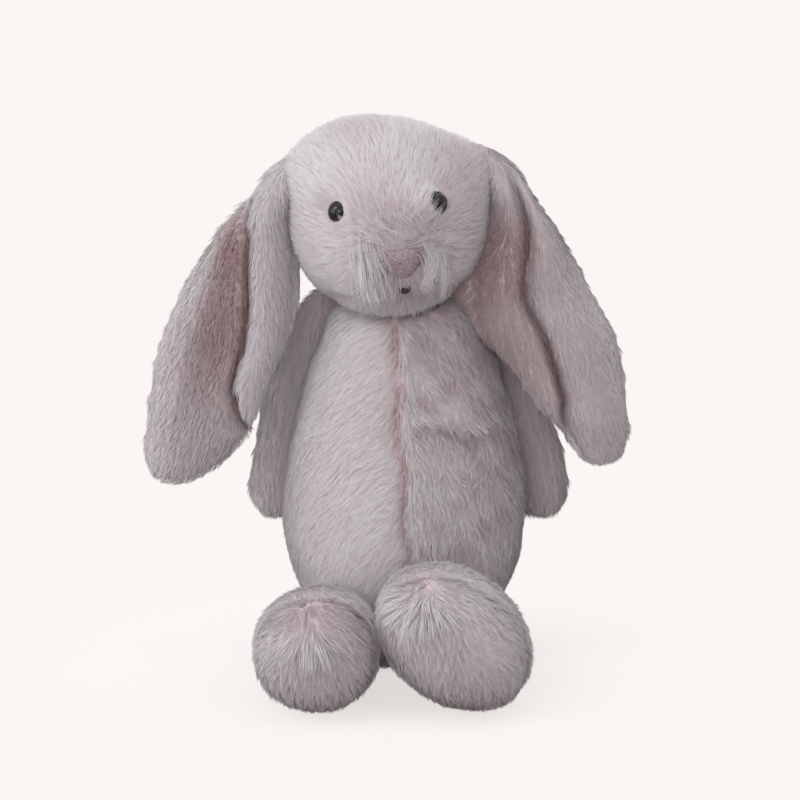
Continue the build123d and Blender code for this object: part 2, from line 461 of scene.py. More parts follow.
def puff(skins, cap):
    """Blows every skin up against its pinned seams with a cloth simulation."""
    before = {}
    for part, obj in skins.items():
        p = points_of(obj.data)
        before[part] = p
        pins = obj.vertex_groups.new(name="sewn")
        sewn = np.flatnonzero(seam_distance(part, p) < SEAM_PIN)
        pins.add([int(i) for i in sewn], 1.0, "REPLACE")
        cloth = obj.modifiers.new("Cloth", "CLOTH")
        cloth.settings.use_pressure = True
        cloth.settings.uniform_pressure_force = PUFF_PRESSURE
        cloth.settings.mass = CLOTH_MASS
        cloth.settings.tension_stiffness = CLOTH_STIFFNESS
        cloth.settings.compression_stiffness = CLOTH_STIFFNESS
        cloth.settings.shear_stiffness = CLOTH_STIFFNESS
        cloth.settings.vertex_group_mass = "sewn"
        cloth.settings.effector_weights.gravity = 0
        cloth.settings.quality = 5
        cloth.collision_settings.use_collision = False
    for f in range(1, PUFF_FRAMES + 1):
        scene.frame_set(f)
    graph = bpy.context.evaluated_depsgraph_get()
    for part, obj in skins.items():
        mesh = bpy.data.meshes.new_from_object(obj.evaluated_get(graph))
        moved = points_of(mesh) - before[part]
        bpy.data.meshes.remove(mesh)
        far = np.linalg.norm(moved, axis=1, keepdims=True)
        moved *= np.minimum(1, cap / np.maximum(far, 1e-6))
        obj.modifiers.clear()
        p = relax(before[part] + moved, edges_of(obj.data), 1, 0.3)
        set_points(obj.data, p)
    scene.frame_set(1)


def subdivide(obj):
    modifier = obj.modifiers.new("Subdivision", "SUBSURF")
    modifier.levels = 1
    modifier.render_levels = 1
    return apply_modifiers(obj)


# ------ panels

def cut(obj, planes):
    """Cuts a skin along seam planes, so that every face lies in one panel."""
    bm = bmesh.new()
    bm.from_mesh(obj.data)
    for point, normal in planes:
        bmesh.ops.bisect_plane(bm, geom=bm.verts[:] + bm.edges[:] + bm.faces[:],
                               plane_co=Vector(point * MM), plane_no=Vector(normal))
    bmesh.ops.triangulate(bm, faces=bm.faces)
    bm.to_mesh(obj.data)
    bm.free()


def cloth_panel(name, mesh, faces, thickness):
    """One panel of a skin as a closed sheet, thickened inwards."""
    p = points_of(mesh)
    n = normals_of(mesh)
    used, where = np.unique(faces.ravel(), return_inverse=True)
    faces = where.reshape(-1, 3)
    outer = p[used]
    inner = outer - n[used] * thickness
    count = len(used)
    sides = np.concatenate([faces[:, (0, 1)], faces[:, (1, 2)], faces[:, (2, 0)]])
    key = sides[:, 0].astype(np.int64) * count + sides[:, 1]
    back_key = sides[:, 1].astype(np.int64) * count + sides[:, 0]
    rim = sides[~np.isin(key, back_key)]
    a, b = rim[:, 0], rim[:, 1]
    wall = np.concatenate([np.stack([a, a + count, b], 1), np.stack([b, a + count, b + count], 1)])
    everything = np.concatenate([faces, faces[:, ::-1] + count, wall])
    panel = bpy.data.meshes.new(name)
    panel.from_pydata((np.concatenate([outer, inner]) * MM).tolist(), [], everything.tolist())
    panel.shade_smooth()
    return link(bpy.data.objects.new(name, panel))


# ------ pile

RING = np.array([90, 210, 330]) * math.pi / 180
TAPER = {2: (1.0, 0.8), 4: (1.0, 1.05, 0.95, 0.7)}
RISE = {2: (1.35, 0.5), 4: (1.6, 1.1, 0.6, 0.3)}


def strand_faces(steps):
    """Corner pattern and face sizes of one closed three-sided strand."""
    quads = [(3 * k + i, 3 * k + (i + 1) % 3, 3 * k + 3 + (i + 1) % 3, 3 * k + 3 + i)
             for k in range(steps - 1) for i in range(3)]
    last = 3 * (steps - 1)
    tris = [(last + i, last + (i + 1) % 3, last + 3) for i in range(3)] + [(2, 1, 0)]
    pattern = np.array([i for face in quads + tris for i in face])
    return pattern, np.array([4] * len(quads) + [3] * len(tris))


def strand_mesh(name, hair):
    """One object of closed three-sided strands."""
    path, side, skin_normal = hair["path"], hair["side"], hair["normal"]
    count, steps = len(path), path.shape[1] - 1
    along = unit(path[:, 1:] - path[:, :-1])
    rings, shade = [], []
    for k in range(steps):
        up = unit(np.cross(along[:, k], side))
        for a in RING:
            out = side * math.cos(a) + up * math.sin(a)
            rings.append(path[:, k] + out * (hair["radius"] * TAPER[steps][k])[:, None])
            shade.append(unit(0.35 * out + skin_normal))
    rings.append(path[:, steps])
    shade.append(unit(skin_normal + 0.2 * along[:, -1]))
    verts = np.stack(rings, 1).reshape(-1, 3)
    shade = np.stack(shade, 1).reshape(-1, 3)

    pattern, sizes = strand_faces(steps)
    per_strand = 3 * steps + 1
    corners = (pattern[None] + per_strand * np.arange(count)[:, None]).ravel()
    starts = np.concatenate([[0], np.cumsum(np.tile(sizes, count))[:-1]])
    mesh = bpy.data.meshes.new(name)
    mesh.vertices.add(len(verts))
    mesh.vertices.foreach_set("co", (verts * MM).astype(np.float32).ravel())
    mesh.loops.add(len(corners))
    mesh.loops.foreach_set("vertex_index", corners.astype(np.int32))
    mesh.polygons.add(len(starts))
    mesh.polygons.foreach_set("loop_start", starts.astype(np.int32))
    mesh.update(calc_edges=True)
    mesh.shade_smooth()

    step = np.array([k for k in range(steps) for _ in range(3)] + [steps]) / steps
    tone = np.empty((count, per_strand, 3), np.float32)
    tone[:, :, 0] = step[None]
    tone[:, :, 1] = hair["own"][:, None]
    tone[:, :, 2] = hair["shared"][:, None]
    mesh.attributes.new("tone", "FLOAT_VECTOR", "POINT").data.foreach_set("vector", tone.ravel())
    pink_and_shade = np.repeat(hair["pink_and_shade"].astype(np.float32), per_strand)
    mesh.attributes.new("pink_and_shade", "FLOAT", "POINT").data.foreach_set("value", pink_and_shade)

    cells = math.ceil(math.sqrt(count))
    column, row = np.arange(count) % cells, np.arange(count) // cells
    across = np.array([0.15, 0.5, 0.85] * steps + [0.5])
    uv = np.empty((count, per_strand, 2), np.float32)
    uv[:, :, 0] = (column[:, None] + across[None]) / cells
    uv[:, :, 1] = (row[:, None] + 0.1 + 0.8 * step[None]) / cells
    mesh.uv_layers.new(name="OFBake").data.foreach_set("uv", uv.reshape(-1, 2)[corners].ravel())
    mesh.normals_split_custom_set_from_vertices(shade.astype(np.float32))
    return link(bpy.data.objects.new(name, mesh))


def sow(mesh, per_cm2, thin, rng):
    """Random places on a triangle mesh: points, normals and triangle numbers."""
    p, n, tris = points_of(mesh), normals_of(mesh), triangles_of(mesh)
    a, b, c = p[tris[:, 0]], p[tris[:, 1]], p[tris[:, 2]]
    area = np.linalg.norm(np.cross(b - a, c - a), axis=1) / 2
    weight = area * thin((a + b + c) / 3)
    count = int(weight.sum() / 100 * per_cm2)
    pick = np.searchsorted(np.cumsum(weight), rng.uniform(0, weight.sum(), count))
    pick = np.minimum(pick, len(tris) - 1)
    u, v = rng.uniform(size=(2, count, 1))
    flip = u + v > 1
    u, v = np.where(flip, 1 - u, u), np.where(flip, 1 - v, v)
    spots = a[pick] * (1 - u - v) + b[pick] * u + c[pick] * v
    ta, tb, tc = n[tris[pick, 0]], n[tris[pick, 1]], n[tris[pick, 2]]
    return spots, unit(ta * (1 - u - v) + tb * u + tc * v), pick


def tufts_of(spots, per_tuft, rng):
    """For each strand, the number of the strand at the middle of its tuft."""
    heads = rng.permutation(len(spots))[: max(8, int(len(spots) / per_tuft))]
    tree = kdtree.KDTree(len(heads))
    for i in heads:
        tree.insert(spots[i], int(i))
    tree.balance()
    return np.array([tree.find(s)[1] for s in spots])


def grow(mesh, coat, seed):
    """Paths and tones of all strands of one coat on a skin."""
    rng = np.random.default_rng(seed)
    spots, normal, face = sow(mesh, coat["density"], coat["thin"], rng)
    flow = coat["flow"](spots)
    flow = unit(flow - (flow * normal).sum(1, keepdims=True) * normal)
    cross = np.cross(normal, flow)
    tuft = tufts_of(spots, coat["density"] * coat["tuft"] ** 2 / 100, rng)
    count, steps = len(spots), coat["steps"]

    mess = coat["mess"](spots)
    own = rng.normal(size=count)
    shared = rng.normal(size=count)[tuft]
    turn = 0.08 * own + 0.22 * mess * shared + 0.28 * wobble(spots, 15, seed) * mess
    length = coat["length"](spots) * (1 + 0.1 * rng.normal(size=count))
    length *= 1 + 0.1 * mess * rng.normal(size=count)[tuft] + 0.06 * wobble(spots, 11, seed + 1)
    length = np.clip(length, 1.5, 26)
    lift = coat["lift"](spots) * (1 + 0.25 * mess * rng.normal(size=count)[tuft])
    lift = lift * (1 + 0.12 * rng.normal(size=count) + 0.25 * wobble(spots, 12, seed + 2) * mess)
    lift = np.clip(lift, 0.05, 1.3)
    curl = coat["curl"](spots)

    path = [spots - normal * 0.4]
    for k in range(steps):
        angle = turn + curl * (k + 0.5) / steps
        heading = flow * np.cos(angle)[:, None] + cross * np.sin(angle)[:, None]
        rise = np.clip(lift * RISE[steps][k], 0.02, 1.4)
        way = heading * np.cos(rise)[:, None] + normal * np.sin(rise)[:, None]
        path.append(path[-1] + way * (length / steps)[:, None])
    path = np.stack(path, 1)
    guide = path[tuft]
    for k in range(1, steps + 1):
        share = coat["clump"] * (k / steps) ** 1.3
        path[:, k] = path[:, k] * (1 - share) + guide[:, k] * share
        path[:, k, 2] = np.maximum(path[:, k, 2], 0.3 + 0.1 * k)
    side = unit(np.cross(flow, normal))
    radius = STRAND_RADIUS * coat["thick"] * rng.uniform(0.75, 1.25, count)
    own = rng.uniform(size=count)
    shared = rng.uniform(size=count)[tuft]
    return {"path": path, "radius": radius, "side": side, "own": own, "shared": shared,
            "normal": unit(normal + coat["lean"](spots)), "face": face,
            "pink_and_shade": np.clip(coat["pink_and_shade"](spots), 0, 1)}


# ------ coats

def as_field(value):
    return value if callable(value) else lambda p: np.full(len(p), float(value))


def coat(flow, length=8.0, lift=0.32, mess=0.6, pink_and_shade=0.4, thin=1.0, curl=0.0, clump=0.42,
         density=STRANDS_PER_CM2, tuft=TUFT_SIZE, steps=2, thick=1.0, lean=np.zeros_like):
    """How pile grows: flow to curl and lean are functions of the place, or one value for all."""
    fields = {"length": length, "lift": lift, "mess": mess, "pink_and_shade": pink_and_shade, "thin": thin,
              "curl": curl}
    return {**{name: as_field(value) for name, value in fields.items()}, "flow": flow,
            "clump": clump, "density": density, "tuft": tuft, "steps": steps, "thick": thick,
            "lean": lean}


def parting_side(p):
    """Millimetres past the wavering parting down the body's front."""
    return p[:, 0] - 3.0 * smooth(-p[:, 2], -150, -35) * 2 + 3.0 - 1.1 * np.sin(p[:, 2] / 6.5)


def ridge_above(p):
    """Millimetres above the rough ridge across the left half of the belly."""
    return p[:, 2] - RIDGE_Z - 2.0 * np.sin(p[:, 0] / 6.0)


def on_ridge(p, reach_up, reach_down):
    above = ridge_above(p)
    near = smooth(above, -reach_down, 0) * (1 - smooth(above, 0, reach_up))
    return near * smooth(p[:, 0], 1, 5) * (1 - smooth(p[:, 0], 34, 44)) * (p[:, 1] < 0)


def body_flow(p):
    past = parting_side(p)
    front = smooth(-p[:, 1], 0, 20)
    side = np.sign(past)
    swept = np.where(past < 0, 1.6 * np.exp(past / 40) * smooth(p[:, 2], 20, 90) + 0.3, 0.35)
    swept = swept * (0.3 + 0.7 * smooth(np.abs(past), 0, 7))
    v = np.zeros_like(p)
    v[:, 0] = side * swept * front
    v[:, 2] = -1
    v[:, 0] += 0.5 * on_ridge(p, 8, 1) + 0.35 * wobble(p, 9, 31) * roughness(p)
    return v


def roughness(p):
    """1 where the body's pile is ruffled, on its left front."""
    return smooth(parting_side(p), 1, 10) * smooth(p[:, 2], 30, 60) * (p[:, 1] < 0)


def body_mess(p):
    return 0.3 + 0.7 * roughness(p) + 0.7 * np.exp(-(parting_side(p) / 5) ** 2) * (p[:, 1] < 0)


def body_lift(p):
    return 0.27 + 0.3 * on_ridge(p, 1, 12) + 0.06 * roughness(p)


def body_length(p):
    return 7.8 - 1.6 * roughness(p)


def body_pink_and_shade(p):
    seam = np.exp(-(parting_side(p) / 1.2) ** 2) * (p[:, 1] < 0)
    # Painted shade in the recess just under the ridge.
    shade_below_ridge = on_ridge(p, 0.5, 7)
    # The small patches on the ruffled part are painted shade between its tufts; the broad ones are random tone.
    uneven = 0.1 * wobble(p, 40, 3) + 0.18 * wobble(p, 7, 12) * roughness(p)
    return 0.3 + 0.75 * seam + 0.35 * shade_below_ridge + uneven


def body_thin(p):
    low = smooth(p[:, 2], 2, 7)
    back = np.where(p[:, 1] > 8, 0.85, 1.0)
    return low * back + 0.02


def nose_place(p):
    """Millimetres from the nose's middle: towards the rabbit's left, and up."""
    q = p - NOSE
    return q @ HEAD_X, q @ HEAD_UP


def head_flow(p):
    v = unit(p - (NOSE + 3 * HEAD_UP))
    back = smooth(-(p - HEAD) @ HEAD_FORWARD, 0, 30)
    return v * (1 - back[:, None]) + np.outer(back, (0, 0, -1))


def head_length(p):
    nose = np.linalg.norm(p - NOSE, axis=1)
    sideways, up = nose_place(p)
    under_nose = np.exp(-((sideways - 1) / 3.5) ** 2) * (up < -3) * (up > -16)
    return (6.8 + 3.0 * np.exp(-((nose - 16) / 10) ** 2) * (up < 6)) * (1 - 0.55 * under_nose)


def head_lift(p):
    nose = np.linalg.norm(p - NOSE, axis=1)
    return 0.25 + 0.25 * np.exp(-((nose - 12) / 10) ** 2)


def clear_of(p, node_centre, radius):
    """0 on the head right under a small thing, 1 beyond its radius."""
    gap = HEAD_R * np.linalg.norm(unit(p - HEAD) - unit(node_centre - HEAD), axis=1)
    return smooth(gap, radius - 0.8, radius + 0.4)


def nose_clear(p):
    sideways, up = nose_place(p)
    return smooth(np.hypot(sideways / 8.2, (up + 1.8) / 5.4), 0.75, 1.0)


def head_thin(p):
    """No pile under the eyes, the nose pad or the mouth stitch."""
    keep = clear_of(p, MOUTH + 4.4 * HEAD_UP, 3.3)
    for side, shift, radius in (("left", 0.12, 3.9), ("right", -0.08, 6.0)):
        keep = keep * clear_of(p, EYE[side] - shift * (NOSE - EYE[side]), radius)
    front = (p - HEAD) @ HEAD_FORWARD
    return keep * nose_clear(p) * np.where(front > -5, 1.25, 0.85)


def head_mess(p):
    nose = np.linalg.norm(p - NOSE, axis=1)
    return 0.25 + 1.0 * np.exp(-(nose / 24) ** 2)


def head_blush(p):
    sideways, up = nose_place(p)
    ridge = np.exp(-((up - 16) / 8) ** 2 - ((sideways - 4) / 12) ** 2)
    return 0.24 + 0.12 * wobble(p, 24, 4) + 0.3 * ridge


def lock_shares(p):
    """How much each of the long locks round the nose and mouth grows at p."""
    sideways, up = nose_place(p)
    front = (p - HEAD) @ HEAD_FORWARD > 5
    right = np.exp(-((sideways + 13) / 4.2) ** 2 - ((up - 2.5) / 6) ** 2)
    left = 1.2 * np.exp(-((sideways - 12) / 3.0) ** 2 - ((up - 3) / 3.0) ** 2)
    bridge = 0.8 * np.exp(-((sideways + 1) / 8) ** 2 - ((up - 13) / 4) ** 2)
    chin = 0.7 * np.exp(-((sideways + 4) / 9) ** 2 - ((up + 19) / 3.5) ** 2)
    return np.array([right, left, bridge, chin]) * front


def whisker_thin(p):
    return lock_shares(p).max(0) * nose_clear(p) * clear_of(p, MOUTH + 4.4 * HEAD_UP, 5.0) + 1e-4


def pick_lock(p, right, left, bridge, chin):
    """For each point, the value that belongs to the lock it grows in."""
    values = [np.broadcast_to(np.asarray(v, float), len(p)) for v in (right, left, bridge, chin)]
    return np.choose(lock_shares(p).argmax(0), values)


def whisker_flow(p):
    sideways = nose_place(p)[0]
    across = pick_lock(p, 0.06 * (sideways + 13), 0.1, 1.0, 0.05 * sideways)
    drop = pick_lock(p, -1.0, -1.0, -0.55, -1.0)
    return np.outer(across, HEAD_X) + np.outer(drop, HEAD_UP)


def whisker_curl(p):
    return pick_lock(p, 0.1, -1.0, -0.3, 0.2)


def whisker_length(p):
    return pick_lock(p, 17, 24, 11, 9)


def whisker_lift(p):
    return pick_lock(p, 0.45, 0.5, 0.5, 0.5)


def whisker_blush(p):
    return pick_lock(p, 0.02, 0.0, 0.4, 0.05)


def ear_flow(side, p):
    sign = 1 if side == "left" else -1
    _, _, past, inner, outer = ear_across(side, p)
    front = p[:, 1] < EAR_Y
    roll = np.clip(past / np.maximum(inner / 2, 2) + 1, -1, 1)
    lean = np.where(past < 0, 0.55 * roll, 0.25 + 0.25 * np.clip(past / outer, 0, 1))
    v = np.zeros_like(p)
    v[:, 0] = sign * np.where(front, lean, 0.25)
    v[:, 2] = -1
    return v


def ear_pink_and_painted_light(side, p):
    across, down, past, _, outer = ear_across(side, p)
    front = smooth(EAR_Y - p[:, 1], -3, 1)
    low = 1 - smooth(down, 0.78, 0.92)
    # Painted shade: darker pink in the lengthwise crease.
    groove = np.exp(-(past / 3.0) ** 2) * low
    wide = np.clip(past / outer, 0, 1)
    # Painted shade: darker pink in the dished outer lobe, deep on the right ear, faint on the left.
    dished = (past > 0) * np.exp(-((wide - 0.25) / 0.4) ** 2) * smooth(down, 0.08, 0.22)
    dished = dished * (1 - smooth(down, 0.55, 0.95))
    depth = 0.7 if side == "right" else 0.1
    # Painted light and shade: the right ear's inner lobe is lighter, the left ear's darker.
    lobe = smooth(-past, 0, 4) * front * (1.6 if side == "right" else -1.0)
    # Painted light: the right ear's outer rim is lighter.
    rim = smooth(across, 0.4, 0.9) * (side == "right")
    tone = 0.26 + front * (0.5 * groove + depth * dished) - 0.22 * rim - 0.15 * lobe
    if side == "left":
        # Painted shadow of the head: darker pink on the upper inner lobe of the left ear.
        tone = tone + 0.45 * (past < 0) * front * (1 - smooth(down, 0.35, 0.8))
    # Painted light: less pink, so lighter, towards the top of the ear.
    tone = tone * (0.35 + 0.65 * smooth(down, 0.08, 0.3))
    return tone + 0.08 * wobble(p, 28, 8)


def ear_lift(side, p):
    across, _, past, _, _ = ear_across(side, p)
    dished = (past > 1) * (across < 0.6) * (p[:, 1] < EAR_Y) * (side == "right")
    return 0.24 + 0.35 * dished


def ear_edge(side, p):
    """0 in the middle of the ear, 1 along its outline."""
    across, down, _, _, _ = ear_across(side, p)
    return np.maximum(smooth(np.abs(across), 0.7, 0.95), smooth(down, 0.9, 0.98))


def ear_length(side, p):
    edge = ear_edge(side, p)
    return np.where(p[:, 1] < EAR_Y, 6.3 - 1.3 * edge, 7.0 - 3.6 * edge)


def ear_thin(side, p):
    """The outer ply's pile is sparse along the outline, where the inner ply's covers it."""
    return 1 - 0.6 * ear_edge(side, p) * (p[:, 1] > EAR_Y + 0.5)


def ear_lean(side, p):
    """Along the outline the pile is lit as if it faced forwards: light comes through it."""
    _, down, past, _, _ = ear_across(side, p)
    lobe = 0.7 * smooth(-past, 0, 4) * (side == "right")
    top = 0.9 * (1 - smooth(down, 0.12, 0.35)) * (side == "right")
    return np.outer(np.maximum.reduce([ear_edge(side, p), lobe, top]), (0, -1.3, 0.3))


def arm_top(p):
    """1 at the shoulder, 0 below it."""
    level = joint_mm("left_arm_lift")[2]
    return smooth(p[:, 2], level - 30, level - 5)


def arm_pink_and_shade(p):
    # Painted shade: the arm on the rabbit's left, away from the key light, is darker pink; both shoulders are a
    # little pinker.
    return np.where(p[:, 0] < 0, 0.2, 0.42) + 0.08 * arm_top(p)


def arm_lean(p):
    return np.outer(np.where(p[:, 0] < 0, 0.5 + 1.2 * arm_top(p), 0), (0, -1.0, 0.5))


def leg_lean(p):
    return np.outer(smooth(p[:, 1], SOLE_Y - 1, SOLE_Y + 5), (0, -0.7, 0.4))


def down_flow(p):
    v = np.zeros_like(p)
    v[:, 2] = -1
    v[:, 0] = 0.15 * np.sign(p[:, 0])
    return v


def swirl_of(side):
    """The point on a sole that its pile is combed away from."""
    return centre_mm(side + "_sole") + ((-3.5, -8, 10) if side == "right" else (-14, -8, 18))


def leg_flow(side, p):
    swirl = swirl_of(side)
    upper = smooth(p[:, 1], SOLE_Y - 1, SOLE_Y + 8)[:, None]
    away = p - swirl - (0, 0, 5)
    fan = unit(away) * smooth(np.abs(away[:, :1]), 0, 9) + np.array([0, 0, -0.6])
    fan[:, 0] += 0.35 * wobble(p, 10, 41) * smooth(p[:, 2], swirl[2] - 4, swirl[2] + 6)
    fan[:, 2] -= 1.2 * smooth(p[:, 2], swirl[2] - 2, swirl[2] + 7)
    return fan * (1 - upper) + np.array([0, -1, -0.3]) * upper


def fan_share(side, p):
    """1 in the long white fan that hangs from the middle of a sole."""
    q = p - swirl_of(side)
    return np.exp(-(q[:, 0] / 10) ** 2 - ((q[:, 2] + 1) / 5.5) ** 2) * (p[:, 1] < SOLE_Y)


def leg_pink_and_shade(side, p):
    q = p - swirl_of(side)
    above = smooth(q[:, 2], 1, 6) * np.exp(-(q[:, 0] / 16) ** 2) * (p[:, 1] < SOLE_Y + 3)
    # Painted shade: darker pink towards the bottom of the foot.
    low = 1 - smooth(p[:, 2], 4, 24)
    uneven = 0.1 * wobble(p, 30, 9) + 0.15 * wobble(p, 7, 13) * above
    return 0.26 + 0.22 * above - 0.3 * fan_share(side, p) + 0.28 * low + uneven


def leg_length(side, p):
    return 6.0 + 7.0 * fan_share(side, p)


def leg_lift(side, p):
    return 0.28 + 0.2 * fan_share(side, p)


def leg_thin(p):
    return 0.03 + smooth(p[:, 2], 1.0, 4)


def tail_flow(p):
    return unit(p - joint_mm("tail_wag")) + np.array([0, 0.2, -0.6])


COATS = {
    "body": coat(body_flow, body_length, body_lift, body_mess, body_pink_and_shade, body_thin),
    "head": coat(head_flow, head_length, head_lift, head_mess, head_blush, head_thin),
    "tail": coat(tail_flow, 8.5, 0.45, 1.0, 0.3),
}
for s in ("left", "right"):
    COATS[s + "_ear"] = coat(partial(ear_flow, s), partial(ear_length, s), partial(ear_lift, s),
                             0.35, partial(ear_pink_and_painted_light, s), partial(ear_thin, s),
                             lean=partial(ear_lean, s))
    COATS[s + "_arm"] = coat(down_flow, 7.0, 0.28, 0.4, arm_pink_and_shade, lean=arm_lean)
    COATS[s + "_leg"] = coat(partial(leg_flow, s), partial(leg_length, s), partial(leg_lift, s),
                             0.7, partial(leg_pink_and_shade, s), leg_thin, lean=leg_lean)
WHISKERS = coat(whisker_flow, whisker_length, whisker_lift, 0.6, whisker_blush, whisker_thin,
                whisker_curl, clump=0.35, density=420, tuft=2.6, steps=4, thick=0.8)


# ------ materials

def linear(r, g, b):
    """sRGB 0-255 to a linear colour."""
    return tuple(((c / 255 + 0.055) / 1.055) ** 2.4 for c in (r, g, b)) + (1.0,)


def fill(tree, node, inputs):
    """Links each input to a socket or sets it to a plain value."""
    for key, value in inputs.items():
        if isinstance(value, bpy.types.NodeSocket):
            tree.links.new(value, node.inputs[key])
        else:
            node.inputs[key].default_value = value
    return node


def add(tree, kind, inputs=None):
    return fill(tree, tree.nodes.new("ShaderNode" + kind), inputs or {})


def material(name, roughness=0.6, sheen=0.0):
    mat = bpy.data.materials.new(name)
    mat.use_nodes = True
    tree = mat.node_tree
    looks = {"Roughness": roughness, "Sheen Weight": sheen, "Sheen Roughness": 0.5}
    return mat, tree, fill(tree, tree.nodes["Principled BSDF"], looks)


def mix(tree, kind, amount, a, b):
    """A colour mix node; amount, a and b are sockets or plain values."""
    node = tree.nodes.new("ShaderNodeMix")
    node.data_type = "RGBA"
    node.blend_type = kind
    return fill(tree, node, {0: amount, 6: a, 7: b}).outputs[2]


def ramp(tree, source, stops):
    node = add(tree, "ValToRGB", {0: source})
    elements = node.color_ramp.elements
    while len(elements) < len(stops):
        elements.new(0.5)
    for element, (place, colour) in zip(elements, stops):
        element.position = place
        element.color = colour
    return node.outputs[0]


def noise(tree, scale, detail=4.0):
    place = add(tree, "TexCoord").outputs["Object"]
    return add(tree, "TexNoise", {"Vector": place, "Scale": scale, "Detail": detail}).outputs[0]


def grey(value):
    return (value, value, value, 1)


def pile_material():
    """Pale pink pile: darker at the root (a pinker root with painted shade deep in the pile), silvery at the tip,
    each tuft a little different.
    """
    mat, tree, shader = material("plush_pile", 0.7, 0.1)
    tone = add(tree, "Attribute")
    tone.attribute_name = "tone"
    pink_and_shade = add(tree, "Attribute")
    pink_and_shade.attribute_name = "pink_and_shade"
    along, own, shared = add(tree, "SeparateXYZ", {0: tone.outputs["Vector"]}).outputs
    white = ramp(tree, along, [
        (0.0, linear(214, 206, 208)), (0.3, linear(227, 223, 225)), (1.0, linear(238, 238, 241)),
    ])
    pale = ramp(tree, along, [
        (0.0, linear(208, 193, 194)), (0.35, linear(216, 207, 208)), (1.0, linear(224, 223, 227)),
    ])
    pink = ramp(tree, along, [
        (0.0, linear(146, 104, 102)), (0.4, linear(176, 142, 140)), (1.0, linear(198, 172, 171)),
    ])
    # The second attribute blends white, pale and dark pink: pinker pile, and painted shade in creases, hollows and
    # on sides away from the light.
    low = ramp(tree, pink_and_shade.outputs["Fac"], [(0.0, grey(0)), (0.35, grey(1))])
    high = ramp(tree, pink_and_shade.outputs["Fac"], [(0.35, grey(0)), (1.0, grey(1))])
    colour = mix(tree, "MIX", high, mix(tree, "MIX", low, white, pale), pink)
    strand = ramp(tree, own, [(0.0, (0.8, 0.79, 0.8, 1)), (1.0, grey(1.03))])
    tuft = ramp(tree, shared, [(0.0, (0.94, 0.93, 0.94, 1)), (1.0, grey(1))])
    colour = mix(tree, "MULTIPLY", 1.0, colour, strand)
    colour = mix(tree, "MULTIPLY", 1.0, colour, tuft)
    tree.links.new(colour, shader.inputs["Base Color"])
    return mat


def two_tone(name, scale, dark, light, roughness, height=0.0, sheen=0.0, stops=(0.35, 0.65)):
    """A material with two noisy tones and, with a height in millimetres, a grain."""
    mat, tree, shader = material(name, roughness, sheen)
    pattern = noise(tree, scale)
    colour = ramp(tree, pattern, list(zip(stops, (linear(*dark), linear(*light)))))
    tree.links.new(colour, shader.inputs["Base Color"])
    if height:
        grain = add(tree, "Bump", {"Strength": 0.7, "Distance": height * MM, "Height": pattern})
        tree.links.new(grain.outputs[0], shader.inputs["Normal"])
    return mat


def paint(obj, mat):
    obj.data.materials.clear()
    obj.data.materials.append(mat)


# ------ build the soft parts

def kind_of(part):
    return part.split("_")[-1]


def make_skins():
    skins = {"body": body_skin(), "head": head_skin(), "tail": tail_skin()}
    for side in ("left", "right"):
        skins[side + "_ear"] = ear_skin(side)
        skins[side + "_arm"] = arm_skin(side)
        skins[side + "_leg"] = leg_skin(side)
    for part, obj in skins.items():
        swell(obj, FULLNESS[kind_of(part)] * SWELLED)
    puff(skins, PUFF_CAP)
    for part, obj in skins.items():
        subdivide(obj)
        finish_shape(part, obj)
    return skins


def head_plane(axis, offset):
    return HEAD + axis * offset, axis


SEAM_PLANES = {
    "body": [(np.zeros(3), (1, 0, 0)), (np.zeros(3), (0, 1, 0))],
    "head": [head_plane(HEAD_X, 0), head_plane(HEAD_UP, CHIN_Z),
             head_plane(HEAD_FORWARD, -HEAD_BACK)],
    "ear": [(np.array([0, EAR_Y, 0]), (0, 1, 0))],
    "leg": [(np.array([0, SOLE_Y, 0]), (0, 1, 0))],
    "arm": [],
    "tail": [],
}


def panel_names(part, p):
    """The panel each point p of a part belongs to."""
    x, y = p[:, 0], p[:, 1]
    if part == "body":
        end = np.where(y < 0, "body_front_", "body_back_")
        return np.char.add(end, np.where(x > 0, "left", "right"))
    if part == "head":
        h = p - HEAD
        name = np.where(h @ HEAD_X > 0, "head_left", "head_right")
        name = np.where(h @ HEAD_UP < CHIN_Z, "head_chin", name)
        return np.where(h @ HEAD_FORWARD < -HEAD_BACK, "head_back", name)
    if part.endswith("ear"):
        return np.where(y < EAR_Y, part + "_inner", part + "_outer")
    if part.endswith("leg"):
        return np.where(y < SOLE_Y, part[:-3] + "sole", part)
    return np.full(len(p), part)


def node_of(name):
    """The CAD node that a panel stands in for."""
    if name == "head_chin":
        return "chin_panel"
    if name.endswith("_sole"):
        return name
    if name.startswith(("body", "head")):
        return name + "_panel"
    return name + ("_ply" if "_ear_" in name else "_cloth")


SHADING = ["body_front_left", "left_ear_inner", "right_ear_inner",
           "left_sole", "right_sole", "left_arm", "right_arm"]     # ruffled, so it shades itself


def carry(obj, part):
    """Puts a finished piece on its body; legs, arms and ears instead get their transform baked into the mesh."""
    if part.endswith("leg"):
        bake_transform(obj)
    elif part.endswith("arm"):
        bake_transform(obj)
    elif part.endswith("ear"):
        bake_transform(obj)
    else:
        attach(obj, part)


def lay_pile(part, mesh, names, coat_of, ending, seed, mat):
    """Grows one coat and makes one pile piece for each panel that it grows on."""
    hair = grow(mesh, coat_of, seed)
    for name in sorted(set(names)):
        mine = names[hair["face"]] == name
        if mine.sum() < 20:
            continue
        piece = strand_mesh(name + ending, {key: value[mine] for key, value in hair.items()})
        piece.visible_shadow = name in SHADING or ending == "_locks"
        paint(piece, mat)
        carry(piece, part)


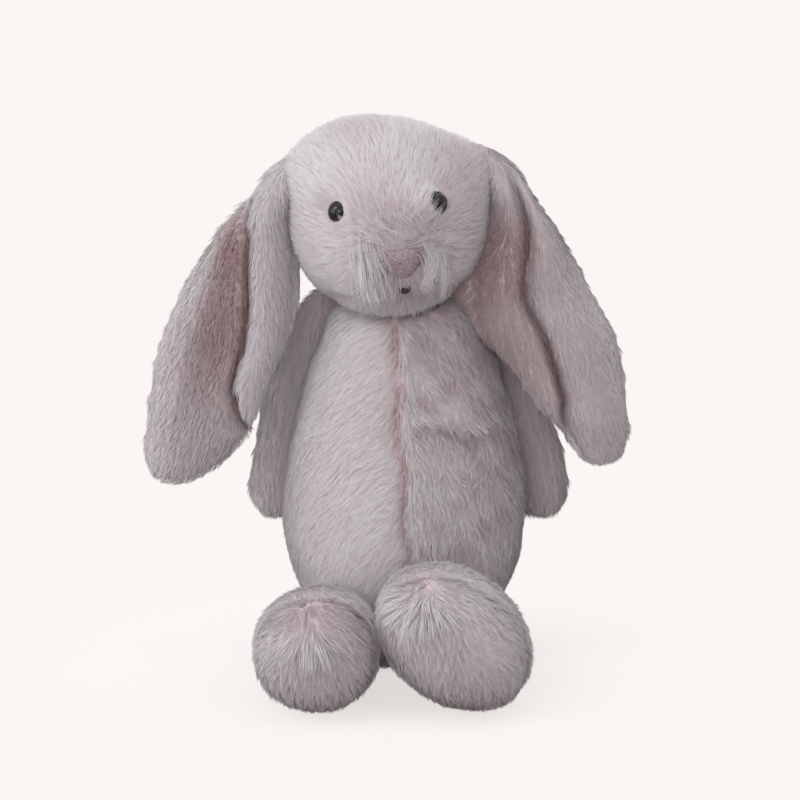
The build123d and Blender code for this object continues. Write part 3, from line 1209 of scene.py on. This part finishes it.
def build_soft_parts():
    pile = pile_material()
    # The backing is a little darker pink than the pile's roots: painted shade deep under the pile.
    backing = two_tone("plush_backing", 420, (190, 172, 174), (210, 196, 198), 0.9,
                       stops=(0.3, 0.7))
    for number, (part, skin) in enumerate(make_skins().items()):
        cut(skin, SEAM_PLANES[kind_of(part)])
        mesh = skin.data
        p, tris = points_of(mesh), triangles_of(mesh)
        names = panel_names(part, p[tris].mean(1))
        for name in sorted(set(names)):
            cloth = cloth_panel(name + "_cloth", mesh, tris[names == name], CLOTH_THICKNESS)
            paint(cloth, backing)
            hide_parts(node_of(name))
            carry(cloth, part)
        lay_pile(part, mesh, names, COATS[part], "_pile", 100 + 10 * number, pile)
        if part == "head":
            lay_pile(part, mesh, names, WHISKERS, "_locks", 90, pile)
        bpy.data.objects.remove(skin)


# ------ face, label, inner pieces

def make_nose():
    """A short-napped pad: an upturned rounded triangle, domed and tucked in at the edge."""
    bm = bmesh.new()
    outward = unit(NOSE - HEAD)
    right = unit(HEAD_X - (HEAD_X @ outward) * outward)
    up = np.cross(outward, right)
    up = up if up @ HEAD_UP > 0 else -up
    rings, around = 12, 48
    centre = HEAD + outward * (HEAD_R + 5.0) - HEAD_UP * 1.5

    def vertex(s, k):
        a = 2 * math.pi * k / around
        radius = 9.4 * (1 + 0.14 * math.cos(3 * (a + math.pi / 2)))
        x = radius * math.cos(a) * 1.08 * s
        y = radius * math.sin(a) * 0.74 * s - 0.6
        dome = 1.5 * (1 - s ** 4) - (x * x + y * y) / (1.6 * HEAD_R)
        return bm.verts.new((centre + right * x + up * y + outward * dome) * MM)

    rows = [[vertex(r / rings, k) for k in range(around)] for r in range(1, rings + 1)]
    back = bm.verts.new((centre - outward * 2.5) * MM)
    tip = bm.verts.new((centre + outward * 1.5) * MM)
    for k in range(around):
        m = (k + 1) % around
        bm.faces.new((tip, rows[0][k], rows[0][m]))
        for low, high in zip(rows, rows[1:]):
            bm.faces.new((low[k], high[k], high[m], low[m]))
        bm.faces.new((rows[-1][k], back, rows[-1][m]))
    bmesh.ops.recalc_face_normals(bm, faces=bm.faces)
    nose = object_of(bm, "nose_pad_suede")
    nose.data.shade_smooth()
    mat = two_tone("nose_suede", 900, (150, 131, 134), (176, 160, 164), 0.9, 0.35, 0.15)
    paint(nose, mat)
    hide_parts("nose_pad")
    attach(nose, "head")


def make_mouth():
    """Three short strands of dark thread side by side."""
    outward = unit(MOUTH - HEAD)
    bm = bmesh.new()
    for i in range(3):
        level = MOUTH + outward * (8.2 - 0.3 * abs(i - 1)) + HEAD_UP * ((i - 1) * 0.55 + 3.9)
        for k in range(14):
            s = k / 13 * 2 - 1
            place = level + HEAD_X * (2.3 * s) - outward * (1.6 * s * s)
            ring = []
            for j in range(8):
                a = j * math.pi / 4
                ring.append(bm.verts.new(
                    (place + (HEAD_UP * math.cos(a) + outward * math.sin(a)) * 0.6) * MM))
            if k:
                for j in range(8):
                    m = (j + 1) % 8
                    bm.faces.new((last[j], last[m], ring[m], ring[j]))
            else:
                bm.faces.new(ring[::-1])
            last = ring
        bm.faces.new(last)
    bmesh.ops.recalc_face_normals(bm, faces=bm.faces)
    mouth = object_of(bm, "mouth_thread")
    mouth.data.shade_smooth()
    mat = two_tone("mouth_thread", 2400, (36, 26, 26), (70, 54, 52), 0.6, 0.1)
    paint(mouth, mat)
    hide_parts("mouth_stitch")
    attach(mouth, "head")


def paint_inner_pieces():
    """Carried-over nodes: noise scale, dark and light tone, and roughness of each slot."""
    looks = {
        "stuffing_fibre": (700, (214, 212, 206), (242, 241, 237), 0.9),
        "pouch_cloth": (1500, (196, 190, 180), (222, 217, 208), 0.85),
        "pellet": (350, (205, 200, 190), (240, 238, 232), 0.4),
        "eye_black": (260, (6, 5, 6), (12, 10, 10), 0.12),
        "washer_plastic": (500, (222, 222, 220), (236, 236, 234), 0.45),
        "seam_thread": (2200, (170, 140, 142), (205, 180, 182), 0.7),
        "label_tape": (1800, (226, 222, 216), (244, 242, 238), 0.55),
    }
    looks = {slot: two_tone(slot, *look) for slot, look in looks.items()}
    slots = {s["node"]: s["material_slot"] for s in frame["record"]["subparts"]}
    for name, obj in frame["nodes"].items():
        if obj.hide_render:
            continue
        for place in obj.material_slots:
            place.link = "OBJECT"
            place.material = looks[slots[name]]


# ------ stage, light, camera

BACKDROP = linear(251, 246, 243)
FLOOR_FADE = {1: 0.05, 2: 0.2, 3: 0.3, 4: 0.0}     # metres from, metres to, share of matt from, to

def seen_or_lit(tree, seen, lit):
    """One shader for what the camera sees and another for the light that reaches the toy."""
    ray = add(tree, "LightPath").outputs["Is Camera Ray"]
    return add(tree, "MixShader", {0: ray, 1: lit, 2: seen}).outputs[0]


def make_stage():
    """A floor that is matt round the toy, for its shadow, and fades into the pale background."""
    bpy.ops.mesh.primitive_plane_add(size=6)
    floor = bpy.context.object
    floor.name = "floor"
    mat = bpy.data.materials.new("floor")
    mat.use_nodes = True
    tree = mat.node_tree
    tree.nodes.clear()
    glow = add(tree, "Emission", {0: BACKDROP}).outputs[0]
    matt = add(tree, "BsdfDiffuse", {0: linear(252, 248, 246)}).outputs[0]
    radius = add(tree, "VectorMath", {0: add(tree, "TexCoord").outputs["Object"]})
    radius.operation = "LENGTH"
    fade = add(tree, "MapRange", {0: radius.outputs["Value"], **FLOOR_FADE})
    fade.interpolation_type = "SMOOTHSTEP"
    blend = add(tree, "MixShader", {0: fade.outputs[0], 1: glow, 2: matt}).outputs[0]
    dim = add(tree, "BsdfDiffuse", {0: linear(170, 162, 162)}).outputs[0]
    add(tree, "OutputMaterial", {0: seen_or_lit(tree, blend, dim)})
    floor.data.materials.append(mat)

    world = bpy.data.worlds.new("studio")
    scene.world = world
    world.use_nodes = True
    tree = world.node_tree
    sky = tree.nodes["Background"]
    sky.inputs[0].default_value = BACKDROP
    lit = add(tree, "Background", {0: linear(240, 238, 242), 1: 0.85}).outputs[0]
    both = seen_or_lit(tree, sky.outputs[0], lit)
    tree.links.new(both, tree.nodes["World Output"].inputs[0])


def softbox(name, place, aim, size, power, colour):
    lamp = bpy.data.lights.new(name, "AREA")
    lamp.size = size
    lamp.energy = power
    lamp.color = colour
    obj = link(bpy.data.objects.new(name, lamp))
    obj.location = place
    obj.rotation_euler = (Vector(aim) - Vector(place)).to_track_quat("-Z", "Y").to_euler()


def make_camera():
    distance, rise = 0.9, math.radians(7)
    target = Vector((-0.0018, 0, 0.12))
    camera = link(bpy.data.objects.new("camera", bpy.data.cameras.new("camera")))
    camera.data.lens = 88.06
    camera.data.sensor_width = 36
    camera.location = target + Vector((0, -math.cos(rise), math.sin(rise))) * distance
    camera.rotation_euler = (target - camera.location).to_track_quat("-Z", "Y").to_euler()
    camera.data.clip_end = 20
    scene.camera = camera


build_soft_parts()
make_nose()
make_mouth()
paint_inner_pieces()
make_stage()
softbox("key", (-1.0, -0.8, 1.2), (0, 0, 0.12), 0.7, 5.5, (0.88, 0.98, 1.0))
softbox("left", (-1.3, -0.6, 0.4), (0, 0, 0.12), 0.9, 4.0, (1.0, 0.98, 0.97))
softbox("front", (-0.2, -1.7, 0.45), (0, 0, 0.12), 1.0, 6.0, (1.0, 0.93, 0.9))
softbox("back", (0.6, 1.4, 1.0), (0, 0, 0.12), 1.0, 7.0, (1.0, 0.98, 0.97))
softbox("top", (0, -0.2, 1.6), (0, 0, 0.12), 1.0, 2.5, (1.0, 0.95, 0.93))
make_camera()
scene.view_settings.view_transform = "Standard"
